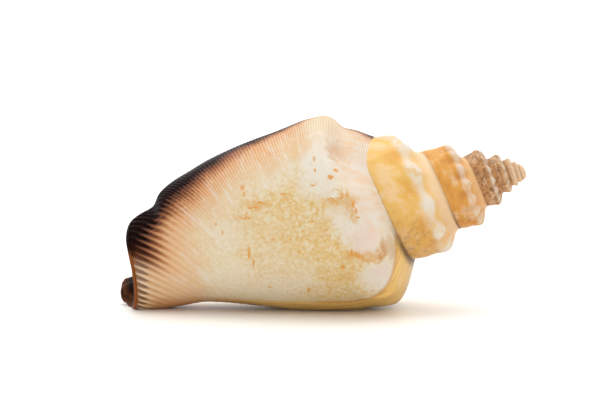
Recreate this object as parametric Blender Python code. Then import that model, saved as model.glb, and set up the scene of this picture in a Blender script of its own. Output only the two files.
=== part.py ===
"""Little bear conch shell, lying as it was photographed, apex to the right, aperture to the back."""
import math

import bpy
import bmesh
import numpy as np

# Sizes are millimetres until the mesh is written. t runs along the shell axis from the apex,
# r is the distance from that axis. Angles are degrees: 0 below, 90 front, 180 above, -90 back.
# They grow the way the shell grew.
MM = 0.001
AXIS_TILT = 13.0
WHORL_GROWTH = 1.71
SUTURE_T = 15.12
SUTURE_R = 0.771
SUTURE_POWER = 0.8
APEX_TURNS = -6.2
CLIMB = 3.69
CLIMB_FROM = 125.0
CLIMB_SPAN = 75.0
LIP_START = 195.0
STRIP_END = LIP_START - 360.0
SPIRE_BLEND = 75.0

# How far the axis bends up off its straight line, (t, offset).
AXIS_BEND = ((0.0, 0.28), (2.0, 0.50), (4.0, 0.38), (7.0, 0.05), (9.8, -0.16), (13.0, -0.06),
             (16.0, 0.0))
# Extra radius that blunts the very tip, and how far down the axis it is felt.
TIP_R = 0.62
TIP_REACH = 1.7

# Ramp of a spire whorl, as a part of the way across it, and the swell and taper of its side.
RAMP_START = 0.03
RAMP_SPAN = 0.34
BULGE_START = 0.3
WHORL_BULGE = 0.06
WHORL_TAPER = 0.17
# Length of the body's ramp below and above, and the angles over which one turns to the other.
RAMP_BELOW = 3.6
RAMP_ABOVE = 5.6
RAMP_TURN_FROM = 40.0
RAMP_TURN_SPAN = 140.0
# Rise of the body's ramp near the lip: (part of the way across it, part of the rise).
RAMP_SHELF = ((0.0, 0.0), (0.2, 0.18), (0.36, 0.33), (0.61, 0.50), (0.82, 0.90), (1.0, 1.0))

# Outlines of the body whorl, (t, r), past its shoulder.
BELOW = ((17.9, 11.10), (20.6, 11.32), (22.6, 11.30), (25.4, 10.88), (30.0, 9.75), (34.5, 8.20),
         (39.3, 6.65), (41.3, 6.22), (43.8, 6.12), (47.4, 5.80), (49.0, 5.50), (50.2, 5.05))
FRONT = ((17.9, 11.30), (22.6, 11.20), (25.2, 10.95), (29.8, 10.20), (34.5, 9.05),
         (39.3, 7.50), (42.9, 6.10), (45.2, 5.35), (48.0, 4.90), (50.2, 4.80))
ABOVE = ((20.0, 12.20), (23.8, 12.25), (27.5, 11.75), (32.0, 11.15), (36.7, 10.15),
         (39.0, 9.40), (41.4, 8.60), (43.1, 7.70), (44.3, 6.30), (46.0, 5.85), (48.2, 5.10))
BACK = ((15.5, 9.50), (19.0, 9.75), (23.8, 9.30), (29.8, 8.10), (35.7, 6.40),
        (41.7, 5.00), (45.2, 4.65), (47.6, 4.55), (50.2, 4.85))

# Rim of the lip, from the middle of its edge to the tip of the canal, against the inner edge:
# (lip t, lip angle, inner edge t, bend of the cord between them).
RIM = ((28.6, 196, 16.57, 0.4), (31.5, 195, 18.2, 0.6), (34.3, 193, 19.8, 0.8),
       (39.0, 187, 22.4, 1.3), (42.9, 179, 24.6, 1.7), (44.6, 175, 25.6, 1.7),
       (46.6, 169, 26.4, 1.75), (47.4, 152, 27.4, 1.75), (47.7, 125, 28.4, 1.7),
       (47.7, 104, 29.2, 1.6), (47.7, 90, 30.0, 1.6), (47.9, 68, 32.5, 1.6),
       (48.3, 45, 36.0, 1.6), (48.8, 28, 39.5, 1.6), (49.3, 5, 44.0, 1.5),
       (50.4, -35, 47.2, 1.3), (50.4, -58, 49.2, 1.1), (50.1, -66, 50.1, 1.0))
FLOOR_KEY = 14
# Angle of the lip edge between the suture and the middle of the edge, (t, angle).
LIP_TOP = ((16.6, 195), (17.9, 196), (22.3, 197), (25.2, 197), (28.6, 196))
# Angle of the inner edge, (t, angle).
INNER_EDGE = ((16.57, -165), (19.0, -150), (23.8, -137), (29.8, -129), (35.7, -117),
              (41.7, -97), (45.2, -78), (48.6, -67), (50.1, -66))

# Broad lobes on the body's shoulder: angle, t, half width in degrees, half length, height.
LOBES = ((56.0, 20.2, 27.0, 4.2, 0.45), (98.0, 20.4, 21.0, 3.6, 0.38))
LOBE_SLOPE = 0.6

# Knobs on the shoulders: (turn, running count), (turn, height), (turn, place across the whorl).
KNOB_COUNT = ((-6.2, -60), (-2.917, -14.5), (-1.917, 0), (-1.65, 4), (-0.844, 15),
              (-0.655, 17), (0.111, 25), (0.194, 26), (0.3, 27), (0.6, 28.7))
KNOB_HEIGHT = ((-6.2, 0.0), (-5.0, 0.12), (-3.0, 0.32), (-2.0, 0.50), (-1.0, 0.62), (-0.5, 0.60),
               (-0.2, 0.50), (0.05, 0.40), (0.12, 0.60), (0.2, 0.52), (0.3, 0.24), (0.42, 0.18),
               (0.56, 0.0))
KNOB_PLACE = ((-6.2, 0.46), (-0.8, 0.37), (-0.4, 0.31), (0.0, 0.33), (0.11, 0.32),
              (0.25, 0.26), (0.56, 0.16))
KNOB_REACH = 0.18
KNOB_SHARP = 1.0

# Thickness of the rim, by the part of the way along it.
LIP_THICK = ((0.0, 0.0), (0.06, 0.75), (0.2, 1.25), (0.55, 1.3), (0.72, 1.05),
             (0.9, 0.95), (0.95, 1.1), (0.985, 0.4), (1.0, 0.0))
WALL = 1.55
CANAL_WALL = 1.05
# Where the wall thins towards the canal, and over what length.
WALL_THINS = 30.0
WALL_THINS_OVER = 12.0
# Where the canal floor meets the inner wall, (depth, t, angle).
FLOOR_PATH = ((0.0, 49.2, 5), (0.1, 47.4, 4), (0.3, 44.0, 10), (0.52, 40.0, 19),
              (0.78, 34.0, 36), (1.0, 28.6, 50))
DEEP_ANGLE = 58.0
CORNER_ROOM = 0.5
CORNER_FADE = 2.4
# Pillar between the whorls: (t, r), then where its foot runs out to the wall and where it
# flattens into the face of the canal.
PILLAR = ((16.6, 7.3), (19.0, 7.2), (21.4, 6.8), (23.8, 6.1), (26.8, 4.9),
          (29.8, 3.8), (35.7, 3.0), (41.7, 2.4))
FOOT_START = 25.0
FOOT_END = 28.6
FACE_START = 30.0
FACE_OVER = 9.0
FACE_SWELL = 0.55

# Facets: columns in a turn, rows across a whorl, rows down to the canal tip.
TURN_COLUMNS = 60
WHORL_ROWS = 7
CANAL_ROWS = 24
EDGE_STEPS = 3
DEPTH_STEPS = 9
DEPTH_POWER = 1.25
NUB_STEPS = 2
WELD = 1.0e-6

# The apex end of the axis: the origin is under the middle of the shell, on the ground.
APEX_X = 24.47
AXIS_Y = 0.82
APEX_Z = 16.06

SHELL_COLOUR = (0.72, 0.56, 0.36, 1.0)
SHELL_ROUGHNESS = 0.38


def clear_scene():
    for item in list(bpy.data.objects):
        bpy.data.objects.remove(item, do_unlink=True)


def smooth(x):
    x = np.clip(x, 0.0, 1.0)
    return x * x * (3.0 - 2.0 * x)


def curve(points, query, column=1):
    """Smooth curve through the points that never overshoots between them."""
    xs = np.array([p[0] for p in points], dtype=float)
    ys = np.array([p[column] for p in points], dtype=float)
    step = np.diff(xs)
    rise = np.diff(ys) / step
    slope = np.empty_like(ys)
    slope[0] = rise[0]
    slope[-1] = rise[-1]
    both = rise[:-1] * rise[1:]
    mean = 2.0 * both / np.where(np.abs(rise[:-1] + rise[1:]) < 1e-9, 1.0, rise[:-1] + rise[1:])
    slope[1:-1] = np.where(both > 0.0, mean, 0.0)
    q = np.clip(np.asarray(query, dtype=float), xs[0], xs[-1])
    k = np.clip(np.searchsorted(xs, q, side="right") - 1, 0, len(step) - 1)
    u = (q - xs[k]) / step[k]
    value = ys[k] * (1 + 2 * u) * (1 - u) ** 2 + ys[k + 1] * u * u * (3 - 2 * u)
    return value + step[k] * (slope[k] * u * (1 - u) ** 2 - slope[k + 1] * u * u * (1 - u))


def natural_t(angle):
    return SUTURE_T * WHORL_GROWTH ** (np.asarray(angle) / 360.0)


def climbed(angle):
    return smooth((np.asarray(angle) - CLIMB_FROM) / CLIMB_SPAN)


def suture_t(angle):
    """The suture falls as a spiral and climbs again just behind the lip."""
    return natural_t(angle) - CLIMB * climbed(angle)


def side_shape(angle, across):
    """How the side of the whorl over a suture swells and narrows towards its shoulder."""
    grown = np.clip(natural_t(angle) / SUTURE_T, 0.0, 1.0)
    bulge = np.sin(math.pi * np.clip((across - BULGE_START) / (1.0 - BULGE_START), 0.0, 1.0))
    return 1.0 + WHORL_BULGE * bulge - WHORL_TAPER * grown * (1.0 - across)


def cone_r(t):
    """Radius of the spire's cone, blunt at the tip."""
    return SUTURE_R * t ** SUTURE_POWER + TIP_R * np.exp(-t / TIP_REACH)


def suture_r(angle):
    angle = np.asarray(angle)
    across = 1.0 - CLIMB * climbed(angle) / (natural_t(angle) - natural_t(angle - 360.0))
    return cone_r(natural_t(angle)) * side_shape(angle, across)


def across_whorl(t, angle):
    top = suture_t(angle)
    return (t - top) / (natural_t(np.asarray(angle) + 360.0) - top)


def knob_relief(t, angle):
    turn = np.asarray(angle) / 360.0
    lobe = (0.5 + 0.5 * np.cos(2.0 * math.pi * curve(KNOB_COUNT, turn))) ** KNOB_SHARP
    off = (across_whorl(t, angle) - curve(KNOB_PLACE, turn)) / KNOB_REACH
    return curve(KNOB_HEIGHT, turn) * lobe * np.exp(-off * off)


def spire_r(t, angle):
    """Radius of a spire whorl: a sloping ramp, a shoulder, then an almost straight side."""
    across = across_whorl(t, angle)
    below = np.asarray(angle) + 360.0
    low = cone_r(natural_t(below)) * side_shape(below, across)
    high = suture_r(angle)
    return high + (low - high) * smooth((across - RAMP_START) / RAMP_SPAN)


def body_r(t, angle):
    """Radius of the body whorl, between the outlines seen below, in front, above and behind."""
    a = np.radians(np.clip(angle, -90.0, 180.0))
    r = curve(BACK, t) * np.maximum(0.0, -np.sin(a)) ** 2
    r = r + curve(BELOW, t) * np.maximum(0.0, np.cos(a)) ** 2
    r = r + curve(FRONT, t) * np.maximum(0.0, np.sin(a)) ** 2
    return r + curve(ABOVE, t) * np.maximum(0.0, -np.cos(a)) ** 2 * (a > 0.0)


def lobe_height(t, angle):
    total = 0.0
    for middle, along, wide, long, height in LOBES:
        off = ((angle - middle) / wide) ** 2 + ((t - along) / long) ** 2
        total = total + height * smooth((1.0 - off) / LOBE_SLOPE)
    return total


def outer_r(t, angle):
    angle = np.asarray(angle, dtype=float)
    turned = smooth((angle - RAMP_TURN_FROM) / RAMP_TURN_SPAN)
    width = RAMP_BELOW + (RAMP_ABOVE - RAMP_BELOW) * turned
    x = np.clip((t - suture_t(angle)) / width, 0.0, 1.0)
    ramp = (1.0 - turned) * (1.0 - (1.0 - x) ** 2) + turned * curve(RAMP_SHELF, x)
    high = suture_r(angle)
    body = high + (body_r(t, angle) + lobe_height(t, angle) - high) * ramp
    grown = smooth((angle - STRIP_END) / SPIRE_BLEND)
    return spire_r(t, angle) * (1.0 - grown) + body * grown


def place(t, r, angle):
    """Point of the shell in the frame's axes, in millimetres."""
    a = np.radians(angle)
    return lift(t, -r * np.cos(a), -r * np.sin(a))


def lift(t, up, back):
    up = up + curve(AXIS_BEND, t)
    tilt = math.radians(AXIS_TILT)
    x = APEX_X - t * math.cos(tilt) - up * math.sin(tilt)
    z = APEX_Z - t * math.sin(tilt) + up * math.cos(tilt)
    return np.stack(np.broadcast_arrays(x, AXIS_Y + np.asarray(back, dtype=float), z), axis=-1)


def cord_rows():
    """Cords from the suture to the canal tip: lip t, lip angle, start t, start angle, bend."""
    across = np.arange(WHORL_ROWS + 1) / WHORL_ROWS
    corner = suture_t(LIP_START)
    lip_t = corner + (RIM[0][0] - corner) * across
    start_t = suture_t(STRIP_END) + (corner - suture_t(STRIP_END)) * across
    upper = np.stack([lip_t, curve(LIP_TOP, lip_t), start_t, np.full_like(across, STRIP_END),
                      np.ones_like(across)], axis=1)
    upper[0, 1] = LIP_START
    keys = [(k,) + row for k, row in enumerate(RIM)]
    q = np.linspace(0.0, len(RIM) - 1, CANAL_ROWS + 1)[1:]
    edge_t = curve(keys, q, 3)
    lower = np.stack([curve(keys, q, 1), curve(keys, q, 2), edge_t, curve(INNER_EDGE, edge_t),
                      curve(keys, q, 4)], axis=1)
    return np.concatenate([upper, lower])


def body_grid(rows):
    """(t, angle) of the body whorl, one line per cord, one column per step of growth."""
    x = np.linspace(0.0, 1.0, TURN_COLUMNS + 1)[None, :]
    lip_t, lip_a, start_t, start_a, bend = (rows[:, k:k + 1] for k in range(5))
    angle = start_a + (lip_a - start_a) * x
    t = start_t + (lip_t - start_t) * x * (2.0 - bend + (bend - 1.0) * x)
    across = (np.arange(WHORL_ROWS + 1) / WHORL_ROWS)[:, None]
    last = t[WHORL_ROWS:WHORL_ROWS + 1]
    top = suture_t(STRIP_END + 360.0 * x)
    t[:WHORL_ROWS + 1] = top + (last - top) * across
    return t, angle


def body_points(t, angle):
    r = outer_r(t, angle) + knob_relief(t, angle)
    r[0] = suture_r(angle[0])
    r[WHORL_ROWS, 0] = suture_r(LIP_START)
    return place(t, r, angle)


def spire_points():
    """Whorls above the body whorl, one row per line from a suture to the next."""
    steps = int(round((STRIP_END / 360.0 - APEX_TURNS) * TURN_COLUMNS))
    angle = STRIP_END + 360.0 * (np.arange(steps + 1) - steps)[None, :] / TURN_COLUMNS
    across = (np.arange(WHORL_ROWS + 1) / WHORL_ROWS)[:, None]
    top = suture_t(angle)
    t = top + (suture_t(angle + 360.0) - top) * across
    r = spire_r(t, angle) + knob_relief(t, angle)
    r[0] = suture_r(angle[0])
    r[-1] = suture_r(angle[0] + 360.0)
    return place(t, r, np.broadcast_to(angle, t.shape))


def nub_rings(spire):
    """The rounded first whorl, closed over the open end of the strip."""
    loop = np.concatenate([spire[0, :TURN_COLUMNS + 1], spire[::-1, 0][1:-1]])
    middle = loop.mean(axis=0)
    crown = place(np.array(0.0), np.array(0.0), np.array(0.0))
    rings = [loop]
    for k in range(1, NUB_STEPS):
        q = 0.5 * math.pi * k / NUB_STEPS
        rings.append(middle + (loop - middle) * math.cos(q) + (crown - middle) * math.sin(q))
    return rings, crown


def unit(vectors):
    length = np.linalg.norm(vectors, axis=1, keepdims=True)
    return vectors / np.maximum(length, 1.0e-9)


def edge_roll(t, angle, skin):
    """Rounded edge of the lip and canal, from the outer skin over to the inner one."""
    along = np.gradient(skin[:, -1], axis=0)
    growth = unit(skin[:, -1] - skin[:, -2])
    inward = unit(np.cross(growth, along))
    centre = place(t[:, -1], np.zeros(len(t)), angle[:, -1])
    flip = np.sign(np.sum(inward * (centre - skin[:, -1]), axis=1, keepdims=True))
    inward = inward * flip
    place_on_rim = np.linspace(0.0, 1.0, len(skin))
    half = 0.5 * curve(LIP_THICK, place_on_rim)[:, None]
    rings = []
    for k in range(EDGE_STEPS + 1):
        q = math.pi * k / EDGE_STEPS
        rings.append(skin[:, -1] + half * (1.0 - math.cos(q)) * inward
                     + half * math.sin(q) * growth)
    return rings


def floor_row():
    return WHORL_ROWS + int(round(CANAL_ROWS * FLOOR_KEY / (len(RIM) - 1)))


def wall_r(t, angle):
    """Radius of the inner skin of the outer wall."""
    thick = WALL + (CANAL_WALL - WALL) * smooth((t - WALL_THINS) / WALL_THINS_OVER)
    thick = thick * np.clip((t - suture_t(angle)) / CORNER_FADE, 0.0, 1.0)
    return outer_r(t, angle) - thick


def corner_inside(depth):
    """The suture corner of the hollow at one depth: (t, angle)."""
    angle = LIP_START + (DEEP_ANGLE - LIP_START) * depth
    top = np.maximum(suture_t(angle), suture_t(LIP_START))
    return top + CORNER_ROOM * (1.0 + depth), angle


def inner_wall(rows, depth):
    """Inner skin of the outer wall at one depth, from the suture corner to the canal floor."""
    last = floor_row()
    share = np.arange(last + 1) / last
    lip_t = rows[:last + 1, 0]
    lip_a = rows[:last + 1, 1]
    floor_t = curve(FLOOR_PATH, depth, 1)
    floor_a = curve(FLOOR_PATH, depth, 2)
    top_t, top_a = corner_inside(depth)
    old = (lip_a - lip_a[-1]) / (lip_a[0] - lip_a[-1])
    mix = old + (1.0 - share - old) * depth
    angle = floor_a + (top_a - floor_a) * mix
    old = (lip_t - lip_t[0]) / (lip_t[-1] - lip_t[0])
    mix = old + (share - old) * depth
    t = top_t + (floor_t - top_t) * mix
    return place(t, wall_r(t, angle), angle)


def pillar_point(t, deep):
    """Skin of the pillar: deep 0 at the inner edge, 1 at the farthest turn inside."""
    start = curve(INNER_EDGE, t)
    near_r = outer_r(t, start)
    start_up = -near_r * np.cos(np.radians(start))
    start_back = -near_r * np.sin(np.radians(start))
    path = [(p[1], p[2]) for p in FLOOR_PATH][::-1]
    end = curve(path, t)
    far_r = wall_r(t, end)
    thin = curve(PILLAR, t)
    ring = start - (start + 360.0 - np.where(t < FOOT_END, DEEP_ANGLE, end)) * deep
    reach = smooth((t - FOOT_START) / (FOOT_END - FOOT_START))
    r = thin + (near_r - thin) * (1.0 - deep) ** 4 + (far_r - thin) * deep ** 5 * reach
    round_up = -r * np.cos(np.radians(ring))
    round_back = -r * np.sin(np.radians(ring))
    end_up = -far_r * np.cos(np.radians(end))
    end_back = -far_r * np.sin(np.radians(end))
    swell = FACE_SWELL * np.sin(math.pi * deep)
    line_up = start_up + (end_up - start_up) * deep + swell
    line_back = start_back + (end_back - start_back) * deep - swell
    neck = smooth((t - FACE_START) / FACE_OVER)
    return lift(t, round_up + (line_up - round_up) * neck,
                round_back + (line_back - round_back) * neck)


def pillar_ring(rows, depth):
    """Pillar side of the opening at one depth, from the canal floor to the suture corner."""
    far = rows[floor_row():]
    face = np.linspace(1.0, depth, len(far))[1:]
    floor_t = float(curve(FLOOR_PATH, depth, 1))
    first = pillar_point(np.full(len(face), floor_t), face)
    edge_t = rows[WHORL_ROWS:-1, 2][::-1]
    top_t = float(corner_inside(depth)[0])
    mix = (rows[-1, 2] - edge_t) / (rows[-1, 2] - edge_t[-1])
    t = floor_t + (top_t - floor_t) * mix
    second = pillar_point(t[:-1], np.full(len(t) - 1, depth))
    return np.concatenate([first, second])


class Weave:
    """Collects points and faces, then makes one welded closed skin of them."""

    def __init__(self):
        self.mesh = bmesh.new()

    def line(self, points):
        return [self.mesh.verts.new(tuple(float(c) * MM for c in p)) for p in points]

    def skin(self, lines, closed=False):
        for first, second in zip(lines, lines[1:]):
            count = len(first)
            for k in range(count if closed else count - 1):
                n = (k + 1) % count
                self.mesh.faces.new((first[k], first[n], second[n], second[k]))

    def fan(self, line, tip):
        for k in range(len(line)):
            self.mesh.faces.new((line[k], line[(k + 1) % len(line)], tip))

    def finish(self):
        bm = self.mesh
        bmesh.ops.remove_doubles(bm, verts=bm.verts[:], dist=WELD)
        bmesh.ops.dissolve_degenerate(bm, edges=bm.edges[:], dist=WELD)
        open_edges = [edge for edge in bm.edges if edge.is_boundary]
        if open_edges:
            bmesh.ops.holes_fill(bm, edges=open_edges, sides=0)
        bmesh.ops.triangulate(bm, faces=bm.faces[:])
        bmesh.ops.recalc_face_normals(bm, faces=bm.faces[:])
        return bm


def rest_flat(bm):
    """Press the lowest part of the body whorl flat, where the shell lies on the ground."""
    for vert in bm.verts:
        if vert.co.z < 0.0:
            vert.co.z = 0.0


def weave_shell():
    weave = Weave()
    spire = spire_points()
    weave.skin([weave.line(row) for row in spire])
    rings, crown = nub_rings(spire)
    lines = [weave.line(ring) for ring in rings]
    weave.skin(lines, closed=True)
    weave.fan(lines[-1], weave.line([crown])[0])
    rows = cord_rows()
    t, angle = body_grid(rows)
    skin = body_points(t, angle)
    weave.skin([weave.line(row) for row in skin])
    edge = edge_roll(t, angle, skin)
    weave.skin([weave.line(ring) for ring in edge])
    inner = [np.concatenate([edge[-1], skin[WHORL_ROWS + 1:-1, 0][::-1]])]
    for k in range(1, DEPTH_STEPS + 1):
        depth = (k / DEPTH_STEPS) ** DEPTH_POWER
        inner.append(np.concatenate([inner_wall(rows, depth), pillar_ring(rows, depth)]))
    weave.skin([weave.line(ring) for ring in inner], closed=True)
    return weave.finish()


def shell_material():
    material = bpy.data.materials.new("shell")
    material.use_nodes = True
    node = material.node_tree.nodes["Principled BSDF"]
    node.inputs["Base Color"].default_value = SHELL_COLOUR
    node.inputs["Roughness"].default_value = SHELL_ROUGHNESS
    material.diffuse_color = SHELL_COLOUR
    return material


def build():
    clear_scene()
    bm = weave_shell()
    rest_flat(bm)
    mesh = bpy.data.meshes.new("shell")
    bm.to_mesh(mesh)
    bm.free()
    mesh.polygons.foreach_set("use_smooth", [True] * len(mesh.polygons))
    mesh.materials.append(shell_material())
    shell = bpy.data.objects.new("shell", mesh)
    bpy.context.scene.collection.objects.link(shell)


build()
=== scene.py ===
import math

import bpy
import numpy as np
from bpy.props import FloatProperty, FloatVectorProperty, PointerProperty
from bpy.types import Operator, Panel, PropertyGroup
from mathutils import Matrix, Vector


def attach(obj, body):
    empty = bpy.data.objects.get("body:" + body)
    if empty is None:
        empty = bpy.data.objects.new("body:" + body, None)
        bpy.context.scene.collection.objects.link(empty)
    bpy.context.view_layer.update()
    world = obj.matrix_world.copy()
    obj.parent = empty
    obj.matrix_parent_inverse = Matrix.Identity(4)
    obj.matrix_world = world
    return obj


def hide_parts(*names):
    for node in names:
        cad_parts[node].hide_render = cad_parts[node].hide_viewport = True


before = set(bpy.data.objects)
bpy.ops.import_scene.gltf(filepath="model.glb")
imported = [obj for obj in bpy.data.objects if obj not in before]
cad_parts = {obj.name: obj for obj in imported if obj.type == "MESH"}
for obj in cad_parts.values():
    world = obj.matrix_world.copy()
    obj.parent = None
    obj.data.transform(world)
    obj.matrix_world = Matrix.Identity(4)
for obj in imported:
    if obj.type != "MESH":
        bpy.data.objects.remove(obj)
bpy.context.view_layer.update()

bl_info = {
    "name": "Little bear conch",
    "version": (1, 0, 0),
    "blender": (4, 5, 0),
    "location": "3D View > Sidebar > Conch",
    "description": "A small knobbed conch shell with a dark lip, and the plain stage it lies on",
    "category": "Object",
}

# Millimetres until the mesh is written. t runs along the shell axis from the apex, r is the
# distance from it. Angles are degrees and grow with the shell: 0 below, 90 front, 180 above.
MM = 0.001
AXIS_TILT = 13.0
WHORL_GROWTH = 1.71
SUTURE_T = 15.12
SUTURE_R = 0.771
SUTURE_POWER = 0.8
APEX_TURNS = -6.2
CLIMB = 3.69
CLIMB_FROM = 125.0
CLIMB_SPAN = 75.0
LIP_START = 195.0
STRIP_END = LIP_START - 360.0
SPIRE_BLEND = 75.0
# How far the axis bends up off its straight line, (t, offset).
AXIS_BEND = ((0.0, 0.28), (2.0, 0.50), (4.0, 0.38), (7.0, 0.05), (9.8, -0.16), (13.0, -0.06),
             (16.0, 0.0))
TIP_R = 0.62
TIP_REACH = 1.7
RAMP_START = 0.03
RAMP_SPAN = 0.34
BULGE_START = 0.3
WHORL_BULGE = 0.06
WHORL_TAPER = 0.17
RAMP_BELOW = 3.6
RAMP_ABOVE = 5.6
RAMP_TURN_FROM = 40.0
RAMP_TURN_SPAN = 140.0
# Rise of the body's ramp near the lip: (part of the way across it, part of the rise).
RAMP_SHELF = ((0.0, 0.0), (0.2, 0.18), (0.36, 0.33), (0.61, 0.50), (0.82, 0.90), (1.0, 1.0))

# Outlines of the body whorl, (t, r), past its shoulder.
BELOW = ((17.9, 11.10), (20.6, 11.32), (22.6, 11.30), (25.4, 10.88), (30.0, 9.75), (34.5, 8.20),
         (39.3, 6.65), (41.3, 6.22), (43.8, 6.12), (47.4, 5.80), (49.0, 5.50), (50.2, 5.05))
FRONT = ((17.9, 11.30), (22.6, 11.20), (25.2, 10.95), (29.8, 10.20), (34.5, 9.05),
         (39.3, 7.50), (42.9, 6.10), (45.2, 5.35), (48.0, 4.90), (50.2, 4.80))
ABOVE = ((20.0, 12.20), (23.8, 12.25), (27.5, 11.75), (32.0, 11.15), (36.7, 10.15),
         (39.0, 9.40), (41.4, 8.60), (43.1, 7.70), (44.3, 6.30), (46.0, 5.85), (48.2, 5.10))
BACK = ((15.5, 9.50), (19.0, 9.75), (23.8, 9.30), (29.8, 8.10), (35.7, 6.40),
        (41.7, 5.00), (45.2, 4.65), (47.6, 4.55), (50.2, 4.85))

# Rim of the lip and canal: (lip t, lip angle, inner edge t, bend of the cord between them).
RIM = ((28.6, 196, 16.57, 0.4), (31.5, 195, 18.2, 0.6), (34.3, 193, 19.8, 0.8),
       (39.0, 187, 22.4, 1.3), (42.9, 179, 24.6, 1.7), (44.6, 175, 25.6, 1.7),
       (46.6, 169, 26.4, 1.75), (47.4, 152, 27.4, 1.75), (47.7, 125, 28.4, 1.7),
       (47.7, 104, 29.2, 1.6), (47.7, 90, 30.0, 1.6), (47.9, 68, 32.5, 1.6),
       (48.3, 45, 36.0, 1.6), (48.8, 28, 39.5, 1.6), (49.3, 5, 44.0, 1.5),
       (50.4, -35, 47.2, 1.3), (50.4, -58, 49.2, 1.1), (50.1, -66, 50.1, 1.0))
FLOOR_KEY = 14
LIP_TOP = ((16.6, 195), (17.9, 196), (22.3, 197), (25.2, 197), (28.6, 196))
INNER_EDGE = ((16.57, -165), (19.0, -150), (23.8, -137), (29.8, -129), (35.7, -117),
              (41.7, -97), (45.2, -78), (48.6, -67), (50.1, -66))

# Broad lobes on the body's shoulder: angle, t, half width in degrees, half length, height.
LOBES = ((56.0, 20.2, 27.0, 4.2, 0.45), (98.0, 20.4, 21.0, 3.6, 0.38))
LOBE_SLOPE = 0.6

# Knobs on the shoulders: (turn, running count), (turn, height), (turn, place across the whorl).
KNOB_COUNT = ((-6.2, -60), (-2.917, -14.5), (-1.917, 0), (-1.65, 4), (-0.844, 15),
              (-0.655, 17), (0.111, 25), (0.194, 26), (0.3, 27), (0.6, 28.7))
KNOB_HEIGHT = ((-6.2, 0.0), (-5.0, 0.12), (-3.0, 0.32), (-2.0, 0.50), (-1.0, 0.62), (-0.5, 0.60),
               (-0.2, 0.50), (0.05, 0.40), (0.12, 0.60), (0.2, 0.52), (0.3, 0.24), (0.42, 0.18),
               (0.56, 0.0))
KNOB_PLACE = ((-6.2, 0.46), (-0.8, 0.37), (-0.4, 0.31), (0.0, 0.33), (0.11, 0.32),
              (0.25, 0.26), (0.56, 0.16))
KNOB_REACH = 0.17

LIP_THICK = ((0.0, 0.0), (0.06, 0.75), (0.2, 1.25), (0.55, 1.3), (0.72, 1.05),
             (0.9, 0.95), (0.95, 1.1), (0.985, 0.4), (1.0, 0.0))
WALL = 1.55
CANAL_WALL = 1.05
WALL_THINS = 30.0
WALL_THINS_OVER = 12.0
FLOOR_PATH = ((0.0, 49.2, 5), (0.1, 47.4, 4), (0.3, 44.0, 10), (0.52, 40.0, 19),
              (0.78, 34.0, 36), (1.0, 28.6, 50))
DEEP_ANGLE = 58.0
CORNER_ROOM = 0.5
CORNER_FADE = 2.4
PILLAR = ((16.6, 7.3), (19.0, 7.2), (21.4, 6.8), (23.8, 6.1), (26.8, 4.9),
          (29.8, 3.8), (35.7, 3.0), (41.7, 2.4))
FOOT_START = 25.0
FOOT_END = 28.6
FACE_START = 30.0
FACE_OVER = 9.0
FACE_SWELL = 0.55
APEX_X = 24.47
AXIS_Y = 0.82
APEX_Z = 16.06

# Along the rim, counted in rim places from -1 at the suture to 17 at the canal tip: gap
# between cords, their height, and the dark margin's width on them and in their grooves, in mm.
CORD_GAP = ((-1, 0.34), (-0.3, 0.32), (0.5, 0.42), (3, 0.46), (5, 0.60), (7, 0.78), (8, 0.88),
            (15, 0.90), (17, 0.8))
CORD_HEIGHT = ((-1, 0.0), (0, 0.0), (0.6, 0.025), (3, 0.04), (5, 0.06), (8, 0.09),
               (14, 0.10), (17, 0.0))
DARK_WIDTH = ((-1, 2.2), (-0.8, 2.0), (-0.62, 0.6), (-0.44, 1.7), (-0.26, 3.7), (0.5, 4.0),
              (2.0, 3.8), (3.0, 3.8), (4.0, 3.9), (5.0, 3.8), (6.0, 3.3), (7.0, 1.9),
              (8.0, 0.9), (9.0, 0.4), (10.0, 0.2), (13.0, 0.15), (15.0, 0.5), (17.0, 2.2))
GROOVE_WIDTH = ((-1, 0.0), (1.0, 0.4), (3.0, 0.7), (5.0, 0.8), (6.0, 1.0), (7.0, 1.4), (8.0, 1.8),
                (9.0, 1.8), (10.0, 1.5), (12.0, 1.2), (14.0, 0.8), (17.0, 0.3))
CORDS_AROUND = 30.0
# Knobs die out over this part of a whorl at its sutures, one over the number.
SEAM_FADE = 8.0
# Cords fade to faint over CORD_FADE from the lip, and sink in over CORD_END at its very edge.
CORD_FADE = 6.0
CORD_FAINT = 0.15
CORD_END = 0.9
# The shoulder stands out this much past the suture, for the spacing of growth lines.
SHOULDER_OUT = 1.35

TURN_COLUMNS = 150
WHORL_ROWS = 24
CANAL_ROWS = 376
EDGE_STEPS = 6
DEPTH_STEPS = 13
DEPTH_POWER = 1.25
NUB_STEPS = 5
WELD = 0.002
RIM_SAMPLES = 900
FAR = 90.0

SENSOR = 36.0
FLOOR_SIDES = 96
KEY_PLACE = (0.0, 0.12, 0.42)
KEY_AIM = (0.0, 0.0, 0.01)
KEY_SIZE = 0.46


def smooth(x):
    x = np.clip(x, 0.0, 1.0)
    return x * x * (3.0 - 2.0 * x)


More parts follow.
